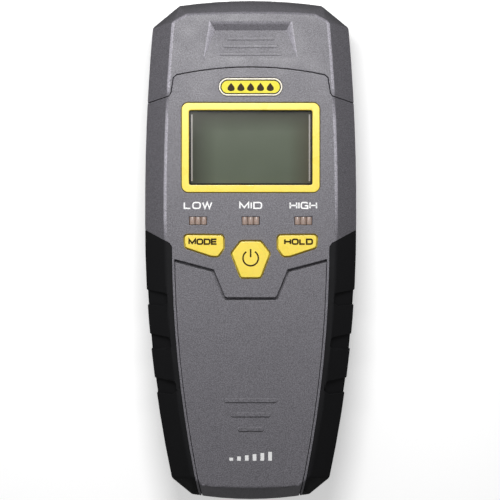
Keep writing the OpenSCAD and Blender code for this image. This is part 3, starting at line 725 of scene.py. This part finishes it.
class METER_OT_cap(bpy.types.Operator):
    """Rounds the cap and its contact strip, and paints a highlight on the side walls of its thumb recess"""
    bl_idname = "meter.cap"
    bl_label = "Cap"

    recess_half = 15 * MM            # the thumb recess is no wider and no deeper than this
    recess_deep = 2 * MM
    # How pale the recess's side walls are painted, as a highlight.
    recess_highlight = 0.8
    least_side, least_up = 0.5, 0.4  # how far a side wall looks sideways and up

    def execute(self, context):
        s = sizes()
        cap = refinish("cap", s.edge, s.ridge)
        self.paint_recess_highlight(cap.data)
        refinish("cap_contact", s.edge / 2)
        return {"FINISHED"}

    def paint_recess_highlight(self, mesh):
        """Marks the side walls of the thumb recess to be painted paler, as a painted highlight."""
        marks = mesh.attributes["edge"].data
        for face in mesh.polygons:
            inside = abs(face.center.x) < self.recess_half and face.center.z > FACE_Z - self.recess_deep
            if inside and abs(face.normal.x) > self.least_side and face.normal.z > self.least_up:
                for corner in face.loop_indices:
                    marks[corner].value = self.recess_highlight


class METER_OT_grips(bpy.types.Operator):
    """Rounds the soft side grips"""
    bl_idname = "meter.grips"
    bl_label = "Grips"

    softer = 1.4  # rubber edges are this much rounder

    def execute(self, context):
        s = sizes()
        for node in ("grip_left", "grip_right"):
            refinish(node, s.edge * self.softer, s.ridge)
        return {"FINISHED"}


class METER_OT_screen(bpy.types.Operator):
    """The yellow frame, the window, the display, the mask printed on it and a pale strip at each side,
    painted as a reflection
    """
    bl_idname = "meter.screen"
    bl_label = "Screen"

    bar = 2.15 * MM    # the yellow frame's bars
    mask = 0.6 * MM    # how far the mask shows inside them
    strip = 0.45 * MM  # pale strip at each side, painted as the window edge's reflection

    def execute(self, context):
        s = sizes()
        refinish("screen_bezel", s.edge * YELLOW_ROUNDER)
        for node in ("screen_window", "lcd_glass", "lcd_holder", "lcd_connector"):
            refinish(node, s.edge / 2)
        glass_low, glass_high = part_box("lcd_glass")
        low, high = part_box("screen_bezel")
        level = glass_high.z
        inner_x = high.x - self.bar - self.mask
        inner_y = (low.y + self.bar + self.mask, high.y - self.bar - self.mask)
        reflection_strip_y = (inner_y[0] + self.mask, inner_y[1] - self.mask)
        for side, *x in (("left", glass_low.x, -inner_x), ("right", inner_x, glass_high.x)):
            self.plate(f"screen_mask_{side}", x, (glass_low.y, glass_high.y), level, "ink_black")
        for side, *y in (("lower", glass_low.y, inner_y[0]), ("upper", inner_y[1], glass_high.y)):
            self.plate(f"screen_mask_{side}", (-inner_x, inner_x), y, level, "ink_black")
        # Painted reflection: a pale strip at each side of the display.
        for side, *x in (("left", -inner_x, self.strip - inner_x), ("right", inner_x - self.strip, inner_x)):
            self.plate(f"window_edge_painted_reflection_{side}", x, reflection_strip_y, level, "edge_strip")
        return {"FINISHED"}

    def plate(self, name, x, y, level, slot):
        """A thin oblong on the display's glass."""
        outline = [(x[0], y[0]), (x[1], y[0]), (x[1], y[1]), (x[0], y[1])]
        film = solid_of(outline, level, level + 2 * sizes().ink, upright)
        put(film, name, BODY_OF["lcd_glass"], slot)


class METER_OT_keys(bpy.types.Operator):
    """Rounds the keys and prints their words and the power sign"""
    bl_idname = "meter.keys"
    bl_label = "Keys"

    word_out = 0.35 * MM          # from a side key's middle, outwards
    word_up = 1.15 * MM
    word_wide = 8.6 * MM
    word_line = 0.5 * MM
    sign_up = 0.4 * MM
    sign_line = 0.46 * MM
    sign_gap = 34                 # degrees, from the sign's top to where its ring starts
    bar_from, bar_to = 0.1, 1.08  # ends of the sign's bar, in radii

    def execute(self, context):
        s = sizes()
        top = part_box("mode_key")[1].z - s.ink
        for node in ("mode_key", "power_key", "hold_key"):
            refinish(node, s.edge * YELLOW_ROUNDER, top=top)
        for node, word, side in (("mode_key", "MODE", -1), ("hold_key", "HOLD", 1)):
            at = middle(node) + Vector((side * self.word_out, self.word_up, 0))
            letters = lettering(word, s.key_word, self.word_wide, self.word_line, at, top)
            put(letters, word.lower() + "_word", BODY_OF[node], "ink_dark")
        put(self.power_sign(s, top), "power_sign", BODY_OF["power_key"], "ink_dark")
        return {"FINISHED"}

    def power_sign(self, s, top):
        """An open ring with a bar in its gap."""
        at = (middle("power_key") + Vector((0, self.sign_up, 0))).xy
        radius = s.sign - self.sign_line / 2
        steps = 40
        turns = [math.radians(90 + self.sign_gap + (360 - 2 * self.sign_gap) * i / steps)
                 for i in range(steps + 1)]
        ring = [at + radius * Vector((math.cos(t), math.sin(t))) for t in turns]
        bar = [at + Vector((0, share * s.sign)) for share in (self.bar_from, self.bar_to)]
        bm = bmesh.new()
        for points in (ring, bar):
            stroke(bm, points, self.sign_line, top - s.ink, top + s.ink)
        return bm


class METER_OT_lights(bpy.types.Operator):
    """The light windows and the words over them"""
    bl_idname = "meter.lights"
    bl_label = "Light windows"

    word_up = 4.55 * MM  # from a window's middle to its word's
    word_line = 0.42 * MM
    words = (("low", 8.5 * MM), ("mid", 6.8 * MM), ("high", 8.2 * MM))      # and how wide each is

    def execute(self, context):
        s = sizes()
        for level, wide in self.words:
            node = "light_window_" + level
            refinish(node, s.edge / 2)
            at = middle(node) + Vector((0, self.word_up, 0))
            letters = lettering(level.upper(), s.legend, wide, self.word_line, at, FACE_Z)
            put(letters, level + "_word", BODY_OF[node], "ink_white")
        for node in ("leds", "light_shroud"):
            refinish(node, s.edge / 2)
        return {"FINISHED"}


class METER_OT_badge(bpy.types.Operator):
    """The badge with its row of drops, and the white level bars near the foot"""
    bl_idname = "meter.badge"
    bl_label = "Badge and bars"

    line = 0.32 * MM      # dark line between the enamel and the rim
    steps = 10            # its pieces in a quarter turn
    drops = 5
    drop_pitch = 2.9 * MM
    drop_tall = 2.5 * MM
    bars = 6
    bar_pitch = 2.3 * MM
    bar_wide = 1.1 * MM
    bar_short = 0.9 * MM  # the first bar's height
    bar_growth = 0.38     # how much of that each next bar gains
    bars_up = 11.9 * MM   # over the panel's lower end

    def execute(self, context):
        s = sizes()
        for node in ("badge_rim", "badge_plate"):
            refinish(node, s.edge / 2)
        place = middle("badge_plate")
        low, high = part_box("badge_plate")
        self.outline(s, place, high - low, high.z)
        first = (place.x - self.drop_pitch * (self.drops - 1) / 2, place.y - self.drop_tall / 2, high.z)
        drop = solid_of(droplet(self.drop_tall), -s.ink, s.ink, upright)
        repeated(drop, "badge_drops", BODY_OF["badge_plate"], "ink_dark", Count=self.drops, First=first,
                 Step=(self.drop_pitch, 0, 0))

        half, short = self.bar_wide / 2, self.bar_short
        bar = solid_of([(-half, 0), (half, 0), (half, short), (-half, short)], -s.ink, s.ink, upright)
        first = (-self.bar_pitch * (self.bars - 1) / 2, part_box("lower_panel")[0].y + self.bars_up, FACE_Z)
        repeated(bar, "level_bars", BODY_OF["lower_panel"], "ink_white", Count=self.bars, First=first,
                 Step=(self.bar_pitch, 0, 0), Growth=self.bar_growth)
        return {"FINISHED"}

    def outline(self, s, place, size, level):
        """The dark line, which runs round the enamel's two round ends."""
        radius = (size.y - self.line) / 2
        reach = (size.x - self.line) / 2 - radius
        turns = [math.radians(90 * i / self.steps) for i in range(2 * self.steps + 1)]
        path = [place.xy + side * Vector((reach + radius * math.sin(t), radius * math.cos(t)))
                for side in (1, -1) for t in turns]
        bm = bmesh.new()
        stroke(bm, path + path[:1], self.line, level - s.ink, level + s.ink)
        put(bm, "badge_line", BODY_OF["badge_plate"], "ink_black")


class METER_OT_pins(bpy.types.Operator):
    """The pins with their block, nuts, contacts and knurled collars"""
    bl_idname = "meter.pins"
    bl_label = "Pins"

    ribs = 30
    rib_depth = 0.22 * MM
    rib_share = 0.8    # how much of its pitch a rib's foot takes
    rib_sunk = 0.05 * MM
    rim = 0.5 * MM     # plain rims at both ends of the knurl
    barrel = 2.6 * MM  # straight part of a collar
    taper = 1 * MM     # how much its radius loses after that

    def execute(self, context):
        s = sizes()
        for node in ("pin_left", "pin_right"):
            refinish(node)
        refinish("pin_block", s.edge)
        for node in ("pin_nuts", "pin_terminals"):
            refinish(node, s.edge / 2)
        low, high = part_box("pin_collars")
        radius = (high.z - low.z) / 2
        core = radius - self.rib_depth
        end = low.y + self.barrel
        knurl_from, knurl_to = low.y + self.rim, end - self.rim
        nose = radius - self.taper
        body, slot = BODY_OF["pin_collars"], SLOT_OF["pin_collars"]
        for side in ("left", "right"):
            centre = middle("pin_" + side)
            hole = (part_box("pin_" + side)[1].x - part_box("pin_" + side)[0].x) / 2
            profile = [(hole, low.y), (radius - s.edge, low.y), (radius, low.y + s.edge),
                       (radius, knurl_from), (core, knurl_from + self.rib_depth),
                       (core, knurl_to - self.rib_depth), (radius, knurl_to), (radius, end),
                       (nose, high.y - s.edge / 2), (nose - s.edge, high.y), (hole, high.y)]
            collar = put(self.turned(profile, centre), f"collar_{side}", body, "steel")
            smooth_by_angle(collar.data)
            if side == "left":
                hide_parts("pin_collars")
            half = math.pi * core / self.ribs * self.rib_share
            rib = [(-half, core - self.rib_sunk), (half, core - self.rib_sunk), (0, radius)]
            knurl = solid_of(rib, knurl_from, knurl_to, lambda u, v, h: (u, h, v))
            repeated(knurl, f"collar_knurl_{side}", body, "steel", slot, Count=self.ribs,
                     First=(centre.x, 0, centre.z), Turn=(0, 2 * math.pi / self.ribs, 0))
        return {"FINISHED"}

    def turned(self, profile, centre):
        """A body turned about the pin's axis."""
        bm = bmesh.new()
        steps = 48
        rings = []
        for i in range(steps):
            turn = 2 * math.pi * i / steps
            c, z = math.cos(turn), math.sin(turn)
            rings.append([bm.verts.new((centre.x + r * c, y, centre.z + r * z)) for r, y in profile])
        for i, ring in enumerate(rings):
            after = rings[(i + 1) % steps]
            for j in range(len(profile)):
                k = (j + 1) % len(profile)
                bm.faces.new((ring[j], ring[k], after[k], after[j]))
        bmesh.ops.recalc_face_normals(bm, faces=bm.faces)
        return bm


class METER_OT_board(bpy.types.Operator):
    """The circuit board, what is soldered to it and the silicone key web"""
    bl_idname = "meter.board"
    bl_label = "Board"

    chip = 11 * MM                   # side of the main chip
    chip_at = (-6.5 * MM, 2.5 * MM)  # its middle, from the display's
    chip_t = 1.5 * MM
    pitch = 0.8 * MM
    legs = 12

    def execute(self, context):
        s = sizes()
        for node in ("main_board", "board_parts", "key_membrane", "key_switches", "buzzer"):
            refinish(node, s.edge / 2)
        refinish("board_screws", s.edge / 2, slot="screw")
        screen = middle("lcd_glass")
        x0, y0 = screen.x + self.chip_at[0], screen.y + self.chip_at[1]
        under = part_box("main_board")[0].z
        half = self.chip / 2
        first = -self.pitch * (self.legs - 1) / 2
        for name, sx, sy in (("right", 1, 0), ("left", -1, 0), ("upper", 0, 1), ("lower", 0, -1)):
            start = (x0 + sx * half + sy * first, y0 + sy * half + sx * first, under)
            step = (self.pitch * sy, self.pitch * sx, 0)
            repeated(self.leg(sx, sy), f"chip_legs_{name}", BODY_OF["board_parts"], "steel",
                     SLOT_OF["pin_left"], Count=self.legs, First=start, Step=step)
        return {"FINISHED"}

    def leg(self, sx, sy):
        """One bent leg pointing along (sx, sy), from the chip's side up to the board over it."""
        out, thick, wide = 1 * MM, 0.15 * MM, 0.3 * MM
        mid = -self.chip_t / 2
        side = [(-thick, mid), (0.4 * out, mid), (0.6 * out, -thick), (out, -thick), (out, 0),
                (0.5 * out, 0), (0.35 * out, mid + thick), (-thick, mid + thick)]
        return solid_of(side, -wide / 2, wide / 2, lambda u, v, h: (sx * u + sy * h, sy * u + sx * h, v))


class METER_OT_battery(bpy.types.Operator):
    """The battery, its snap and leads, and the walls, foam and door round it"""
    bl_idname = "meter.battery"
    bl_label = "Battery bay"

    drawn = 3  # a drawn steel jacket's edges are this much rounder

    def execute(self, context):
        s = sizes()
        refinish("battery_door", s.edge, s.ridge)
        refinish("battery", s.edge * self.drawn)
        for node in ("battery_terminals", "battery_snap", "battery_pad", "compartment_wall"):
            refinish(node, s.edge)
        for node in ("lead_red", "lead_black"):
            refinish(node)
        return {"FINISHED"}


class METER_OT_back(bpy.types.Operator):
    """The label and the case screws on the back"""
    bl_idname = "meter.back"
    bl_label = "Label and screws"

    def execute(self, context):
        s = sizes()
        refinish("back_label", s.edge / 4)
        refinish("housing_screws", s.edge / 2, slot="screw")
        return {"FINISHED"}


class METER_OT_stage(bpy.types.Operator):
    """Floor, lights and camera"""
    bl_idname = "meter.stage"
    bl_label = "Stage"

    floor_size = 3.0
    floor_gap = 0.3 * MM  # how far the paper lies under the case's back
    floor_glow = 0.45
    fill = 0.18           # strength of the even light from all round
    sensor = 36           # mm
    camera_x = -0.2 * MM
    lamps = (("key_light", (-0.01, 0.1, 0.22), (0, 0.02, 0), (0.1, 0.08), 0.42),
             ("left_light", (-0.3, 0.03, 0.28), (0, 0, 0), (0.04, 0.3), 0.09),
             ("right_light", (0.32, 0.03, 0.28), (0, 0, 0), (0.04, 0.3), 0.04))

    def execute(self, context):
        scene = context.scene
        scene.view_settings.view_transform = "Standard"
        self.floor(scene)
        for name, place, aim, size, power in self.lamps:
            self.lamp(scene, name, place, aim, size, power)
        world = bpy.data.worlds.new("studio")
        world.use_nodes = True
        sky = world.node_tree.nodes["Background"].inputs
        sky["Color"].default_value = (1, 1, 1, 1)
        sky["Strength"].default_value = self.fill
        scene.world = world

        s = sizes()
        camera = bpy.data.cameras.new("camera")
        camera.sensor_width = self.sensor
        camera.lens = self.sensor * s.camera / s.view
        camera.clip_start, camera.clip_end = 0.05, 10
        seat = bpy.data.objects.new("camera", camera)
        seat.location = (self.camera_x, 0, s.camera + FACE_Z / 2)
        scene.collection.objects.link(seat)
        scene.camera = seat
        return {"FINISHED"}

    def floor(self, scene):
        # White backdrop paper lit from below as well, so that it stays nearly white round the meter. It
        # neither lights nor mirrors in the meter, whose slanted bands would turn too pale.
        half = self.floor_size / 2
        corners = [(x * half, y * half, -self.floor_gap) for x, y in ((-1, -1), (1, -1), (1, 1), (-1, 1))]
        sheet = bpy.data.meshes.new("floor")
        sheet.from_pydata(corners, [], [(0, 1, 2, 3)])
        paper = material_of("coated_white_paper", {
            "Base Color": linear("#f6f6f6"), "Roughness": 0.9, "Emission Color": (1, 1, 1, 1),
            "Emission Strength": self.floor_glow})[0]
        sheet.materials.append(paper)
        ground = bpy.data.objects.new("floor", sheet)
        ground.visible_diffuse = False
        ground.visible_glossy = False
        scene.collection.objects.link(ground)

    def lamp(self, scene, name, place, aim, size, power):
        """A soft box at place, turned towards aim."""
        light = bpy.data.lights.new(name, "AREA")
        light.shape = "RECTANGLE"
        light.size, light.size_y = size
        light.energy = power
        thing = bpy.data.objects.new(name, light)
        thing.location = place
        thing.rotation_euler = (Vector(aim) - Vector(place)).to_track_quat("-Z", "Y").to_euler()
        thing.visible_camera = False
        scene.collection.objects.link(thing)


class METER_PT_panel(bpy.types.Panel):
    """Lists the meter's operators"""
    bl_idname = "METER_PT_panel"
    bl_label = "Moisture Meter"
    bl_space_type = "VIEW_3D"
    bl_region_type = "UI"
    bl_category = "Meter"

    def draw(self, context):
        for operator in OPERATORS:
            self.layout.operator(operator.bl_idname)


OPERATORS = (METER_OT_stage, METER_OT_housings, METER_OT_cap, METER_OT_grips, METER_OT_screen,
             METER_OT_keys, METER_OT_lights, METER_OT_badge, METER_OT_pins, METER_OT_board,
             METER_OT_battery, METER_OT_back)
CLASSES = (MeterSizes, MeterColours, *OPERATORS, METER_PT_panel)


def register():
    for item in CLASSES:
        bpy.utils.register_class(item)
    bpy.types.Scene.meter_sizes = bpy.props.PointerProperty(type=MeterSizes)
    bpy.types.Scene.meter_colours = bpy.props.PointerProperty(type=MeterColours)


def unregister():
    del bpy.types.Scene.meter_colours
    del bpy.types.Scene.meter_sizes
    for item in reversed(CLASSES):
        bpy.utils.unregister_class(item)


def main():
    register()
    bpy.ops.meter.stage()
    bpy.ops.meter.housings()
    bpy.ops.meter.cap()
    bpy.ops.meter.grips()
    bpy.ops.meter.screen()
    bpy.ops.meter.keys()
    bpy.ops.meter.lights()
    bpy.ops.meter.badge()
    bpy.ops.meter.pins()
    bpy.ops.meter.board()
    bpy.ops.meter.battery()
    bpy.ops.meter.back()


if __name__ == "__main__":
    main()
